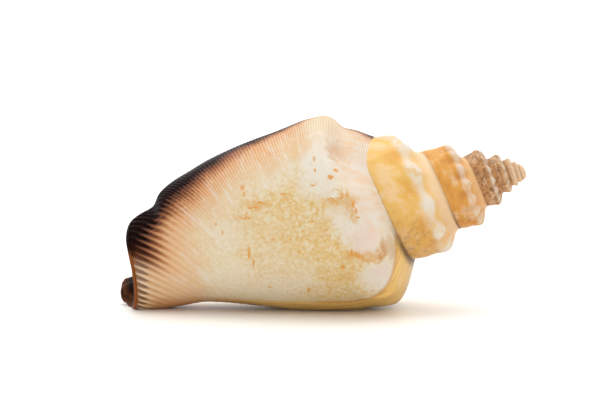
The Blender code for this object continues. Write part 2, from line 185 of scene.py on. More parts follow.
def curve(points, query, column=1):
    """Smooth curve through the points that never overshoots between them."""
    xs = np.array([p[0] for p in points], dtype=float)
    ys = np.array([p[column] for p in points], dtype=float)
    step = np.diff(xs)
    rise = np.diff(ys) / step
    slope = np.empty_like(ys)
    slope[0] = rise[0]
    slope[-1] = rise[-1]
    both = rise[:-1] * rise[1:]
    mean = 2.0 * both / np.where(np.abs(rise[:-1] + rise[1:]) < 1e-9, 1.0, rise[:-1] + rise[1:])
    slope[1:-1] = np.where(both > 0.0, mean, 0.0)
    q = np.clip(np.asarray(query, dtype=float), xs[0], xs[-1])
    k = np.clip(np.searchsorted(xs, q, side="right") - 1, 0, len(step) - 1)
    u = (q - xs[k]) / step[k]
    value = ys[k] * (1 + 2 * u) * (1 - u) ** 2 + ys[k + 1] * u * u * (3 - 2 * u)
    return value + step[k] * (slope[k] * u * (1 - u) ** 2 - slope[k + 1] * u * u * (1 - u))


def natural_t(angle):
    return SUTURE_T * WHORL_GROWTH ** (np.asarray(angle) / 360.0)


def climbed(angle):
    return smooth((np.asarray(angle) - CLIMB_FROM) / CLIMB_SPAN)


def suture_t(angle):
    """The suture falls as a spiral and climbs again just behind the lip."""
    return natural_t(angle) - CLIMB * climbed(angle)


def side_shape(angle, across):
    """How the side of the whorl over a suture swells and narrows towards its shoulder."""
    grown = np.clip(natural_t(angle) / SUTURE_T, 0.0, 1.0)
    bulge = np.sin(math.pi * np.clip((across - BULGE_START) / (1.0 - BULGE_START), 0.0, 1.0))
    return 1.0 + WHORL_BULGE * bulge - WHORL_TAPER * grown * (1.0 - across)


def cone_r(t):
    """Radius of the spire's cone, blunt at the tip."""
    return SUTURE_R * t ** SUTURE_POWER + TIP_R * np.exp(-t / TIP_REACH)


def suture_r(angle):
    angle = np.asarray(angle)
    across = 1.0 - CLIMB * climbed(angle) / (natural_t(angle) - natural_t(angle - 360.0))
    return cone_r(natural_t(angle)) * side_shape(angle, across)


def across_whorl(t, angle):
    top = suture_t(angle)
    return (t - top) / (natural_t(np.asarray(angle) + 360.0) - top)


def spire_r(t, angle):
    """Radius of a spire whorl: a sloping ramp, a shoulder, then an almost straight side."""
    across = across_whorl(t, angle)
    below = np.asarray(angle) + 360.0
    low = cone_r(natural_t(below)) * side_shape(below, across)
    high = suture_r(angle)
    return high + (low - high) * smooth((across - RAMP_START) / RAMP_SPAN)


def body_r(t, angle):
    """Radius of the body whorl, between the outlines seen below, in front, above and behind."""
    a = np.radians(np.clip(angle, -90.0, 180.0))
    r = curve(BACK, t) * np.maximum(0.0, -np.sin(a)) ** 2
    r = r + curve(BELOW, t) * np.maximum(0.0, np.cos(a)) ** 2
    r = r + curve(FRONT, t) * np.maximum(0.0, np.sin(a)) ** 2
    return r + curve(ABOVE, t) * np.maximum(0.0, -np.cos(a)) ** 2 * (a > 0.0)


def lobe_height(t, angle):
    total = 0.0
    for middle, along, wide, long, height in LOBES:
        off = ((angle - middle) / wide) ** 2 + ((t - along) / long) ** 2
        total = total + height * smooth((1.0 - off) / LOBE_SLOPE)
    return total


def outer_r(t, angle):
    angle = np.asarray(angle, dtype=float)
    turned = smooth((angle - RAMP_TURN_FROM) / RAMP_TURN_SPAN)
    width = RAMP_BELOW + (RAMP_ABOVE - RAMP_BELOW) * turned
    x = np.clip((t - suture_t(angle)) / width, 0.0, 1.0)
    ramp = (1.0 - turned) * (1.0 - (1.0 - x) ** 2) + turned * curve(RAMP_SHELF, x)
    high = suture_r(angle)
    body = high + (body_r(t, angle) + lobe_height(t, angle) - high) * ramp
    grown = smooth((angle - STRIP_END) / SPIRE_BLEND)
    return spire_r(t, angle) * (1.0 - grown) + body * grown


def lift(t, up, back):
    up = up + curve(AXIS_BEND, t)
    tilt = math.radians(AXIS_TILT)
    x = APEX_X - t * math.cos(tilt) - up * math.sin(tilt)
    z = APEX_Z - t * math.sin(tilt) + up * math.cos(tilt)
    return np.stack(np.broadcast_arrays(x, AXIS_Y + np.asarray(back, dtype=float), z), axis=-1)


def spoke(r, angle):
    """How far up and back a point stands off the axis."""
    a = np.radians(angle)
    return -r * np.cos(a), -r * np.sin(a)


def place(t, r, angle):
    """Point of the shell in the frame's axes, in millimetres."""
    return lift(t, *spoke(r, angle))


def rim_place():
    """Where each row meets the rim, evenly, from -1 at the suture to 17 at the canal tip."""
    keys = [(k,) + row for k, row in enumerate(RIM)]
    q = np.linspace(0.0, len(RIM) - 1, RIM_SAMPLES)
    t = curve(keys, q, 1)
    angle = curve(keys, q, 2)
    line = place(t, outer_r(t, angle), angle)
    length = np.concatenate([[0.0], np.cumsum(np.linalg.norm(np.diff(line, axis=0), axis=1))])
    even = np.interp(np.linspace(0.0, length[-1], CANAL_ROWS + 1)[1:], length, q)
    even[-1] = q[-1]
    return np.concatenate([np.arange(WHORL_ROWS + 1) / WHORL_ROWS - 1.0, even])


def cord_rows():
    """Cords from the suture to the canal tip: lip t, lip angle, start t, start angle, bend."""
    across = np.arange(WHORL_ROWS + 1) / WHORL_ROWS
    corner = suture_t(LIP_START)
    lip_t = corner + (RIM[0][0] - corner) * across
    start_t = suture_t(STRIP_END) + (corner - suture_t(STRIP_END)) * across
    upper = np.stack([lip_t, curve(LIP_TOP, lip_t), start_t, np.full_like(across, STRIP_END),
                      np.full_like(across, RIM[0][3])], axis=1)
    upper[0, 1] = LIP_START
    keys = [(k,) + row for k, row in enumerate(RIM)]
    q = rim_place()[WHORL_ROWS + 1:]
    edge_t = curve(keys, q, 3)
    lower = np.stack([curve(keys, q, 1), curve(keys, q, 2), edge_t, curve(INNER_EDGE, edge_t),
                      curve(keys, q, 4)], axis=1)
    return np.concatenate([upper, lower])


def body_grid(rows):
    """(t, angle) of the body whorl, one line per cord, one column per step of growth."""
    x = np.linspace(0.0, 1.0, TURN_COLUMNS + 1)[None, :]
    lip_t, lip_a, start_t, start_a, bend = (rows[:, k:k + 1] for k in range(5))
    angle = start_a + (lip_a - start_a) * x
    t = start_t + (lip_t - start_t) * x * (2.0 - bend + (bend - 1.0) * x)
    across = (np.arange(WHORL_ROWS + 1) / WHORL_ROWS)[:, None]
    last = t[WHORL_ROWS:WHORL_ROWS + 1]
    top = suture_t(STRIP_END + 360.0 * x)
    t[:WHORL_ROWS + 1] = top + (last - top) * across
    return t, angle


def growth_length(angle):
    """Millimetres grown along the shoulder up to an angle."""
    rate = SUTURE_POWER * math.log(WHORL_GROWTH) / 360.0
    radius = SHOULDER_OUT * SUTURE_R * natural_t(angle) ** SUTURE_POWER
    return radius * math.radians(1.0) / rate


def run_length(points, axis):
    """Distance covered along one axis of a grid of points."""
    step = np.linalg.norm(np.diff(points, axis=axis), axis=-1)
    total = np.cumsum(step, axis=axis)
    pad = [(1, 0) if k == axis else (0, 0) for k in range(2)]
    return np.pad(total, pad)


def knob_size(t, angle):
    turn = angle / 360.0
    off = (across_whorl(t, angle) - curve(KNOB_PLACE, turn)) / KNOB_REACH
    return curve(KNOB_HEIGHT, turn) * np.exp(-off * off)


class Skin:
    """Grids of points with the marks that the relief and the colours follow."""

    MARKS = ("turn", "across", "cord", "lip", "dark", "side", "grown", "rim", "groove",
             "knob", "knob_size", "cord_size")

    def __init__(self):
        self.points = []
        self.marks = []
        self.quads = []
        self.count = 0

    def add(self, points, closed=False, **marks):
        lines, width = points.shape[:2]
        index = self.count + np.arange(lines * width).reshape(lines, width)
        if closed:
            index = np.concatenate([index, index[:, :1]], axis=1)
        self.quads.append(np.stack([index[:-1, :-1], index[:-1, 1:], index[1:, 1:],
                                    index[1:, :-1]], axis=-1).reshape(-1, 4))
        self.points.append(points.reshape(-1, 3))
        table = [np.broadcast_to(marks.get(name, 0.0), (lines, width)).reshape(-1)
                 for name in self.MARKS]
        self.marks.append(np.stack(table, axis=1))
        self.count += lines * width

    def weld(self):
        """Points that share a place become one, and a face keeps its corners in order."""
        points = np.concatenate(self.points)
        marks = np.concatenate(self.marks)
        quads = np.concatenate(self.quads)
        key = np.round(points / WELD).astype(np.int64)
        _, first, same = np.unique(key, axis=0, return_index=True, return_inverse=True)
        same = same.reshape(-1)
        faces = []
        corners = []
        for quad, merged in zip(quads.tolist(), same[quads].tolist()):
            keep = [k for k in range(4) if merged[k] != merged[k - 1]]
            if len(keep) < 3 or len({merged[k] for k in keep}) < len(keep):
                continue
            faces.append([merged[k] for k in keep])
            corners.extend(quad[k] for k in keep)
        return points[first], marks[first], faces, marks[np.array(corners)]


def add_spire(skin):
    steps = int(round((STRIP_END / 360.0 - APEX_TURNS) * TURN_COLUMNS))
    angle = STRIP_END + 360.0 * (np.arange(steps + 1) - steps)[None, :] / TURN_COLUMNS
    part = (np.arange(WHORL_ROWS + 1) / WHORL_ROWS)[:, None]
    top = suture_t(angle)
    t = top + (suture_t(angle + 360.0) - top) * part
    r = spire_r(t, angle)
    r[0] = suture_r(angle[0])
    r[-1] = suture_r(angle[0] + 360.0)
    angle = np.broadcast_to(angle, t.shape)
    points = place(t, r, angle)
    skin.add(points, turn=angle / 360.0, across=across_whorl(t, angle),
             cord=CORDS_AROUND * part, lip=FAR, dark=1.0, grown=growth_length(angle),
             rim=-2.0, knob=curve(KNOB_COUNT, angle / 360.0),
             knob_size=knob_size(t, angle) * smooth(part * SEAM_FADE)
             * smooth((1.0 - part) * SEAM_FADE))
    return points


def add_nub(skin, spire):
    """The rounded first whorl, closed over the open end of the strip."""
    loop = np.concatenate([spire[0, :TURN_COLUMNS + 1], spire[::-1, 0][1:-1]])
    middle = loop.mean(axis=0)
    crown = place(np.array(0.0), np.array(0.0), np.array(0.0))
    rings = [loop]
    for k in range(1, NUB_STEPS + 1):
        q = 0.5 * math.pi * k / NUB_STEPS
        rings.append(middle + (loop - middle) * math.cos(q) + (crown - middle) * math.sin(q))
    rings[-1] = np.broadcast_to(crown, loop.shape)
    skin.add(np.stack(rings), closed=True, turn=APEX_TURNS, across=0.5, lip=FAR, dark=1.0,
             rim=-2.0)


def add_body(skin, rows, cord):
    t, angle = body_grid(rows)
    r = outer_r(t, angle)
    r[0] = suture_r(angle[0])
    r[WHORL_ROWS, 0] = suture_r(LIP_START)
    points = place(t, r, angle)
    along = run_length(points, 1)
    place_on_rim = rim_place()[:, None]
    part = np.clip((place_on_rim + 1.0) * SEAM_FADE, 0.0, 1.0)
    inland = along[:, -1:] - along
    near = smooth(1.0 - inland / CORD_FADE) * (1.0 - CORD_FAINT) + CORD_FAINT
    near = near * smooth(inland / CORD_END + CORD_FAINT)
    skin.add(points, turn=angle / 360.0, across=across_whorl(t, angle), cord=cord[:, None],
             lip=inland, dark=curve(DARK_WIDTH, place_on_rim),
             groove=curve(GROOVE_WIDTH, place_on_rim),
             grown=growth_length(angle), rim=place_on_rim,
             knob=curve(KNOB_COUNT, angle / 360.0),
             knob_size=knob_size(t, angle) * smooth(part),
             cord_size=curve(CORD_HEIGHT, place_on_rim) * near)
    return t, angle, points


def unit(vectors):
    length = np.linalg.norm(vectors, axis=-1, keepdims=True)
    return vectors / np.maximum(length, 1.0e-9)


def add_edge(skin, t, angle, body, cord):
    """Rounded edge of the lip and canal, from the outer skin over to the inner one."""
    along = np.gradient(body[:, -1], axis=0)
    growth = unit(body[:, -1] - body[:, -2])
    inward = unit(np.cross(growth, along))
    centre = place(t[:, -1], np.zeros(len(t)), angle[:, -1])
    inward = inward * np.sign(np.sum(inward * (centre - body[:, -1]), axis=1, keepdims=True))
    q = rim_place()
    share = (np.linspace(-WHORL_ROWS / CANAL_ROWS, 1.0, len(q)) + WHORL_ROWS / CANAL_ROWS)
    share = share / share[-1]
    half = 0.5 * curve(LIP_THICK, share)[:, None]
    rings = []
    for k in range(EDGE_STEPS + 1):
        a = math.pi * k / EDGE_STEPS
        rings.append(body[:, -1] + half * (1.0 - math.cos(a)) * inward
                     + half * math.sin(a) * growth)
    rings = np.stack(rings)
    skin.add(rings, side=1.0, lip=-run_length(rings, 0), dark=curve(DARK_WIDTH, q)[None, :],
             groove=curve(GROOVE_WIDTH, q)[None, :],
             cord=cord[None, :], rim=q[None, :], turn=0.54)
    return rings


def floor_row():
    return int(np.argmin(np.abs(rim_place() - FLOOR_KEY)))


def wall_r(t, angle):
    """Radius of the inner skin of the outer wall."""
    thick = WALL + (CANAL_WALL - WALL) * smooth((t - WALL_THINS) / WALL_THINS_OVER)
    thick = thick * np.clip((t - suture_t(angle)) / CORNER_FADE, 0.0, 1.0)
    return outer_r(t, angle) - thick


def corner_inside(depth):
    """The suture corner of the hollow at one depth: (t, angle)."""
    angle = LIP_START + (DEEP_ANGLE - LIP_START) * depth
    top = np.maximum(suture_t(angle), suture_t(LIP_START))
    return top + CORNER_ROOM * (1.0 + depth), angle


def inner_wall(rows, depth):
    """Inner skin of the outer wall at one depth, from the suture corner to the canal floor."""
    last = floor_row()
    share = np.arange(last + 1) / last
    lip_t = rows[:last + 1, 0]
    lip_a = rows[:last + 1, 1]
    floor_t = curve(FLOOR_PATH, depth, 1)
    floor_a = curve(FLOOR_PATH, depth, 2)
    top_t, top_a = corner_inside(depth)
    old = (lip_a - lip_a[-1]) / (lip_a[0] - lip_a[-1])
    mix = old + (1.0 - share - old) * depth
    angle = floor_a + (top_a - floor_a) * mix
    old = (lip_t - lip_t[0]) / (lip_t[-1] - lip_t[0])
    mix = old + (share - old) * depth
    t = top_t + (floor_t - top_t) * mix
    return place(t, wall_r(t, angle), angle)


def pillar_point(t, deep):
    """Skin of the pillar: deep 0 at the inner edge, 1 at the farthest turn inside."""
    start = curve(INNER_EDGE, t)
    near_r = outer_r(t, start)
    start_up, start_back = spoke(near_r, start)
    path = [(p[1], p[2]) for p in FLOOR_PATH][::-1]
    end = curve(path, t)
    far_r = wall_r(t, end)
    thin = curve(PILLAR, t)
    ring = start - (start + 360.0 - np.where(t < FOOT_END, DEEP_ANGLE, end)) * deep
    reach = smooth((t - FOOT_START) / (FOOT_END - FOOT_START))
    r = thin + (near_r - thin) * (1.0 - deep) ** 4 + (far_r - thin) * deep ** 5 * reach
    round_up, round_back = spoke(r, ring)
    end_up, end_back = spoke(far_r, end)
    swell = FACE_SWELL * np.sin(math.pi * deep)
    line_up = start_up + (end_up - start_up) * deep + swell
    line_back = start_back + (end_back - start_back) * deep - swell
    neck = smooth((t - FACE_START) / FACE_OVER)
    return lift(t, round_up + (line_up - round_up) * neck,
                round_back + (line_back - round_back) * neck)


def pillar_ring(rows, depth):
    """Pillar side of the opening at one depth, from the canal floor to the suture corner."""
    far = rows[floor_row():]
    face = np.linspace(1.0, depth, len(far))[1:]
    floor_t = float(curve(FLOOR_PATH, depth, 1))
    first = pillar_point(np.full(len(face), floor_t), face)
    edge_t = rows[WHORL_ROWS:-1, 2][::-1]
    top_t = float(corner_inside(depth)[0])
    mix = (rows[-1, 2] - edge_t) / (rows[-1, 2] - edge_t[-1])
    t = floor_t + (top_t - floor_t) * mix
    second = pillar_point(t[:-1], np.full(len(t) - 1, depth))
    return np.concatenate([first, second])


def add_hollow(skin, rows, rings, body, cord):
    """Inside of the opening: the inner skin of the wall, the pillar, and the turn's end."""
    loops = [np.concatenate([rings[-1], body[WHORL_ROWS + 1:-1, 0][::-1]])]
    for k in range(1, DEPTH_STEPS + 1):
        depth = (k / DEPTH_STEPS) ** DEPTH_POWER
        loops.append(np.concatenate([inner_wall(rows, depth), pillar_ring(rows, depth)]))
    loops = np.stack(loops)
    reach = run_length(loops, 0)
    wall = floor_row()
    q = rim_place()
    tip = len(q) - 1
    width = loops.shape[1]
    back = q[WHORL_ROWS + 1:-1][::-1]
    along_rim = np.concatenate([q, back])[None, :]
    along_cord = np.concatenate([cord, cord[WHORL_ROWS + 1:-1][::-1]])[None, :]
    wide = np.arange(width + 1)
    for first, last, side in ((0, wall, 1.0), (wall, width, 2.0)):
        pick = wide[first:last + 1] % width
        shift = np.where(pick <= tip, 0.8, 0.0)
        skin.add(loops[:, pick], side=side, lip=-(reach[:, pick] + shift), dark=1.0,
                 rim=along_rim[:, pick], cord=along_cord[:, pick], turn=0.5)
    end = loops[-1]
    middle = end.mean(axis=0)
    skin.add(np.stack([end, np.broadcast_to(middle, end.shape)]), closed=True, side=1.0,
             lip=-40.0, dark=1.0, rim=3.0)


def base_mesh():
    skin = Skin()
    spire = add_spire(skin)
    add_nub(skin, spire)
    rows = cord_rows()
    t, angle = body_grid(rows)
    lip_line = place(t[:, -1], outer_r(t[:, -1], angle[:, -1]), angle[:, -1])
    step = np.linalg.norm(np.diff(lip_line, axis=0), axis=1)
    gap = curve(CORD_GAP, rim_place()[1:])
    cord = np.concatenate([[0.0], np.cumsum(step / gap)])
    t, angle, body = add_body(skin, rows, cord)
    rings = add_edge(skin, t, angle, body, cord)
    add_hollow(skin, rows, rings, body, cord)
    points, marks, faces, corners = skin.weld()
    mesh = bpy.data.meshes.new("shell_base")
    mesh.from_pydata((points * MM).tolist(), [], faces)
    names = list(Skin.MARKS)
    for name in ("knob", "knob_size", "cord", "cord_size", "grown"):
        layer = mesh.attributes.new("point_" + name, "FLOAT", "POINT")
        layer.data.foreach_set("value", np.ascontiguousarray(marks[:, names.index(name)]))
    for k, label in enumerate(("coil", "mouth", "skin", "knobs")):
        layer = mesh.attributes.new(label, "FLOAT_VECTOR", "CORNER")
        layer.data.foreach_set("vector", corners[:, 3 * k:3 * k + 3].ravel())
    return mesh


def joined(operation, swapped=False):
    """A method that joins a wire and a wire or number with a Math node."""
    def join(self, other):
        return self.math(operation, other, self) if swapped else self.math(operation, self, other)
    return join


class Wire:
    """One output of a node. Arithmetic on wires adds Math nodes."""

    def __init__(self, board, socket):
        self.board = board
        self.socket = socket

    def math(self, operation, first, second=0.0):
        return self.board.add("ShaderNodeMath", {"operation": operation}, {0: first, 1: second})

    __add__ = joined("ADD")
    __radd__ = joined("ADD", swapped=True)
    __sub__ = joined("SUBTRACT")
    __rsub__ = joined("SUBTRACT", swapped=True)
    __mul__ = joined("MULTIPLY")
    __rmul__ = joined("MULTIPLY", swapped=True)
    __truediv__ = joined("DIVIDE")
    __pow__ = joined("POWER")
    at_least = joined("MAXIMUM")

    def cosine(self):
        return self.math("COSINE", self)

    def absolute(self):
        return self.math("ABSOLUTE", self)

    def rise(self, start, end, low=0.0, high=1.0):
        """Smooth step from low at start to high at end."""
        return self.board.add("ShaderNodeMapRange", {"interpolation_type": "SMOOTHSTEP"},
                              {0: self, 1: start, 2: end, 3: low, 4: high})

    def hill(self, centre, width):
        """1 at the centre, falling smoothly to 0 a width away."""
        return (self - centre).absolute().rise(width, 0.0)


class Board:
    """A node tree under construction."""

    def __init__(self, tree):
        self.tree = tree

    def add(self, kind, settings=None, inputs=None, output=0):
        node = self.tree.nodes.new(kind)
        for name, value in (settings or {}).items():
            setattr(node, name, value)
        for key, value in (inputs or {}).items():
            if isinstance(value, Wire):
                self.tree.links.new(value.socket, node.inputs[key])
            else:
                node.inputs[key].default_value = value
        return Wire(self, node.outputs[output])

    def parts(self, vector):
        """The three numbers of a vector."""
        split = self.add("ShaderNodeSeparateXYZ", inputs={0: vector})
        return [Wire(self, socket) for socket in split.socket.node.outputs]

    def mark(self, name):
        """The three values of one of the mesh's own marks."""
        return self.parts(self.add("ShaderNodeAttribute", {"attribute_name": name}, output=1))

    def vector(self, x, y, z=0.0):
        return self.add("ShaderNodeCombineXYZ", inputs={0: x, 1: y, 2: z})

    def noise(self, vector, scale, detail=2.0, rough=0.5, warp=0.0):
        return self.add("ShaderNodeTexNoise", inputs={
            "Vector": vector, "Scale": scale, "Detail": detail, "Roughness": rough,
            "Distortion": warp})

    def mix(self, factor, first, second):
        """One colour over another."""
        return self.add("ShaderNodeMix", {"data_type": "RGBA"}, {0: factor, 6: first, 7: second}, 2)


def linear(red, green, blue):
    """Linear colour from the eye's 0 to 255 values."""
    def one(value):
        value = value / 255.0
        return value / 12.92 if value <= 0.04045 else ((value + 0.055) / 1.055) ** 2.4
    return (one(red), one(green), one(blue), 1.0)


def relief_tree():
    """Geometry nodes that raise the knobs, the cords and the growth lines on the bare shell."""
    tree = bpy.data.node_groups.new("shell relief", "GeometryNodeTree")
    face = tree.interface
    face.new_socket("Geometry", in_out="OUTPUT", socket_type="NodeSocketGeometry")
    face.new_socket("Geometry", in_out="INPUT", socket_type="NodeSocketGeometry")
    for name in ("Knob height", "Knob sharpness", "Cord height", "Growth line height"):
        face.new_socket(name, in_out="INPUT", socket_type="NodeSocketFloat")
    face.new_socket("Shell material", in_out="INPUT", socket_type="NodeSocketMaterial")
    board = Board(tree)
    inputs = board.add("NodeGroupInput").socket.node
    source = {socket.name: Wire(board, socket) for socket in inputs.outputs if socket.name}

    def named(name):
        return board.add("GeometryNodeInputNamedAttribute", {"data_type": "FLOAT"},
                         {"Name": "point_" + name})

    spot = board.add("GeometryNodeInputPosition")
    swell = board.noise(spot, 160.0, 2.0)
    lobe = ((named("knob") * (2.0 * math.pi)).cosine() * 0.5 + 0.5) ** source["Knob sharpness"]
    knobs = lobe * named("knob_size") * (0.72 + 0.56 * swell) * source["Knob height"]
    ridge = (named("cord") * (2.0 * math.pi)).cosine()
    cords = ridge * named("cord_size") * source["Cord height"]
    grown = named("grown")
    lines = board.noise(board.vector(grown * 0.9, named("cord") * 0.03), 1.0, 3.0, 0.6) - 0.5
    lines = lines * source["Growth line height"]
    height = (knobs + cords + lines) * MM
    normal = board.add("GeometryNodeInputNormal")
    offset = board.add("ShaderNodeVectorMath", {"operation": "SCALE"}, {0: normal, 3: height})
    raised = board.add("GeometryNodeSetPosition",
                       inputs={"Geometry": source["Geometry"], "Offset": offset})
    x, y, z = board.parts(board.add("GeometryNodeInputPosition"))
    on_ground = board.vector(x, y, z.at_least(0.0))
    grounded = board.add("GeometryNodeSetPosition",
                         inputs={"Geometry": raised, "Position": on_ground})
    single = board.add("GeometryNodeRealizeInstances", inputs={0: grounded})
    final = board.add("GeometryNodeSetMaterial",
                      inputs={"Geometry": single, "Material": source["Shell material"]})
    out = tree.nodes.new("NodeGroupOutput")
    tree.links.new(final.socket, out.inputs[0])
    return tree


def shell_material(look):
    material = bpy.data.materials.new("shell")
    material.use_nodes = True
    board = Board(material.node_tree)
    surface = material.node_tree.nodes["Principled BSDF"]
    paint = ShellPaint(board, look)
    colour = paint.lay(paint.body(), (paint.turn.rise(-0.445, -0.46), paint.spire()))
    # Painted shade in the suture creases, then the dark lip margin.
    colour = paint.margin(paint.painted_suture_shade(colour))
    colour = paint.lay(colour, (paint.side.rise(0.4, 0.6), paint.inside()))
    rough = 0.40 + 0.14 * paint.fine + 0.16 * paint.turn.rise(-1.8, -2.8) - 0.12 * paint.darkness
    bump = board.add("ShaderNodeBump", inputs={
        "Strength": 0.5, "Distance": 0.00005, "Height": paint.grain()})
    links = material.node_tree.links
    colour = board.add("ShaderNodeMix", {"data_type": "RGBA", "blend_type": "MULTIPLY"},
                       {0: 1.0, 6: colour, 7: (0.74, 0.725, 0.705, 1.0)}, 2)
    links.new(colour.socket, surface.inputs["Base Color"])
    links.new(rough.socket, surface.inputs["Roughness"])
    links.new(bump.socket, surface.inputs["Normal"])
    links.new(((1.0 - paint.darkness) * 0.3).socket, surface.inputs["Coat Weight"])
    surface.inputs["Coat Roughness"].default_value = 0.32
    surface.inputs["Specular IOR Level"].default_value = 0.02
    return material


# Soft patches on the photographed side: middle across, middle height, half width, half
# height, strength; in millimetres.
WHITE_PATCHES = (
    (-0.2, 17.6, 2.6, 3.4, 1.0), (0.8, 15.4, 1.8, 1.4, 0.8), (2.2, 12.2, 1.3, 1.6, 0.8),
    (3.8, 10.8, 1.7, 1.8, 0.95), (5.0, 9.4, 1.5, 1.8, 0.9), (6.6, 5.2, 2.3, 2.0, 1.0),
    (4.6, 15.6, 1.7, 4.0, 0.85), (5.9, 12.4, 1.5, 2.8, 0.8), (-10.4, 9.4, 2.0, 1.8, 0.35),
    (-9.4, 4.6, 3.4, 2.0, 0.3), (-4.6, 3.6, 4.2, 1.9, 0.4), (-5.5, 6.0, 2.4, 2.0, 0.2),
    (-5.6, 17.0, 2.0, 1.6, 0.5))
OCHRE_PATCHES = (
    (-4.2, 13.4, 3.6, 1.8, 0.9), (0.0, 13.2, 3.0, 1.6, 1.0), (-2.0, 9.6, 3.6, 3.0, 0.8),
    (-7.4, 10.6, 3.0, 2.4, 0.6), (1.4, 8.2, 3.4, 2.8, 1.0), (2.4, 5.0, 3.4, 1.9, 1.0),
    (-3.4, 15.8, 2.8, 1.6, 0.6), (-8.0, 13.2, 2.2, 1.8, 0.6), (-7.6, 7.6, 2.4, 2.4, 0.5),
    (0.6, 2.6, 5.0, 1.4, 0.8), (5.4, 3.0, 2.4, 0.8, 0.6), (-5.4, 5.6, 3.6, 2.6, 0.5))
STAIN_PATCHES = (
    (4.4, 7.5, 1.8, 0.7, 1.0), (6.2, 7.9, 1.2, 0.8, 0.7), (3.4, 13.6, 0.9, 1.1, 0.7),
    (1.8, 14.3, 1.5, 0.5, 0.8), (3.7, 12.6, 0.5, 1.0, 0.7), (-7.6, 13.6, 1.5, 0.5, 0.6),
    (-9.6, 11.9, 1.3, 0.34, 0.4), (-6.4, 18.0, 1.6, 1.4, 0.5), (-2.6, 19.6, 1.2, 1.2, 0.4),
    (2.0, 19.2, 1.2, 1.3, 0.45))
BROWN_PATCHES = (
    (6.9, 8.7, 0.45, 1.3, 0.45), (8.1, 8.1, 0.9, 0.9, 0.3), (1.8, 19.6, 1.3, 1.2, 0.2))
PINK_PATCHES = (
    (5.1, 9.9, 1.4, 1.7, 0.8), (3.4, 17.4, 1.6, 2.2, 0.5), (7.2, 5.6, 1.2, 1.2, 0.6),
    (5.6, 13.2, 1.2, 2.4, 0.5), (1.0, 20.4, 2.0, 1.6, 0.4))
# Small orange marks: middle across, middle height, half width, half height.
MARKS = (
    (-9.2, 15.2, 0.24, 0.34), (-9.0, 14.5, 0.16, 0.26), (-8.0, 13.0, 0.7, 0.16),
    (-7.1, 13.6, 0.5, 0.18), (-8.8, 11.8, 0.7, 0.14), (-12.3, 10.9, 0.14, 0.26),
    (-11.5, 10.0, 0.14, 0.3), (-8.4, 7.6, 0.14, 0.7), (-7.9, 6.4, 0.12, 0.6),
    (-6.0, 3.5, 0.3, 0.18), (-1.5, 3.3, 0.2, 0.4), (-0.9, 18.6, 0.12, 0.2),
    (-0.8, 17.4, 0.12, 0.3), (-1.0, 15.7, 0.4, 0.14), (1.0, 16.6, 0.42, 0.24),
    (1.6, 17.3, 0.4, 0.2), (2.3, 14.5, 0.16, 0.34), (2.9, 14.6, 0.14, 0.3),
    (1.0, 14.2, 0.5, 0.14), (3.6, 13.6, 0.22, 0.5), (3.9, 12.8, 0.16, 0.4),
    (4.1, 12.1, 0.3, 0.16), (3.4, 8.2, 0.14, 0.4), (0.4, 10.6, 0.3, 0.14),
    (-1.2, 11.6, 0.36, 0.12), (-4.4, 14.6, 0.4, 0.12), (-2.6, 8.0, 0.12, 0.3),
    (2.4, 6.2, 0.3, 0.14), (-5.6, 9.4, 0.3, 0.12))
# Fold past which the tan and the painted shade of the turned-under side are laid: centre across and
# up, half width, half height.
SHADED_BRIM = (2.0, 8.5, 6.6, 6.9)
SHADED_BRIM_POWER = 2.5


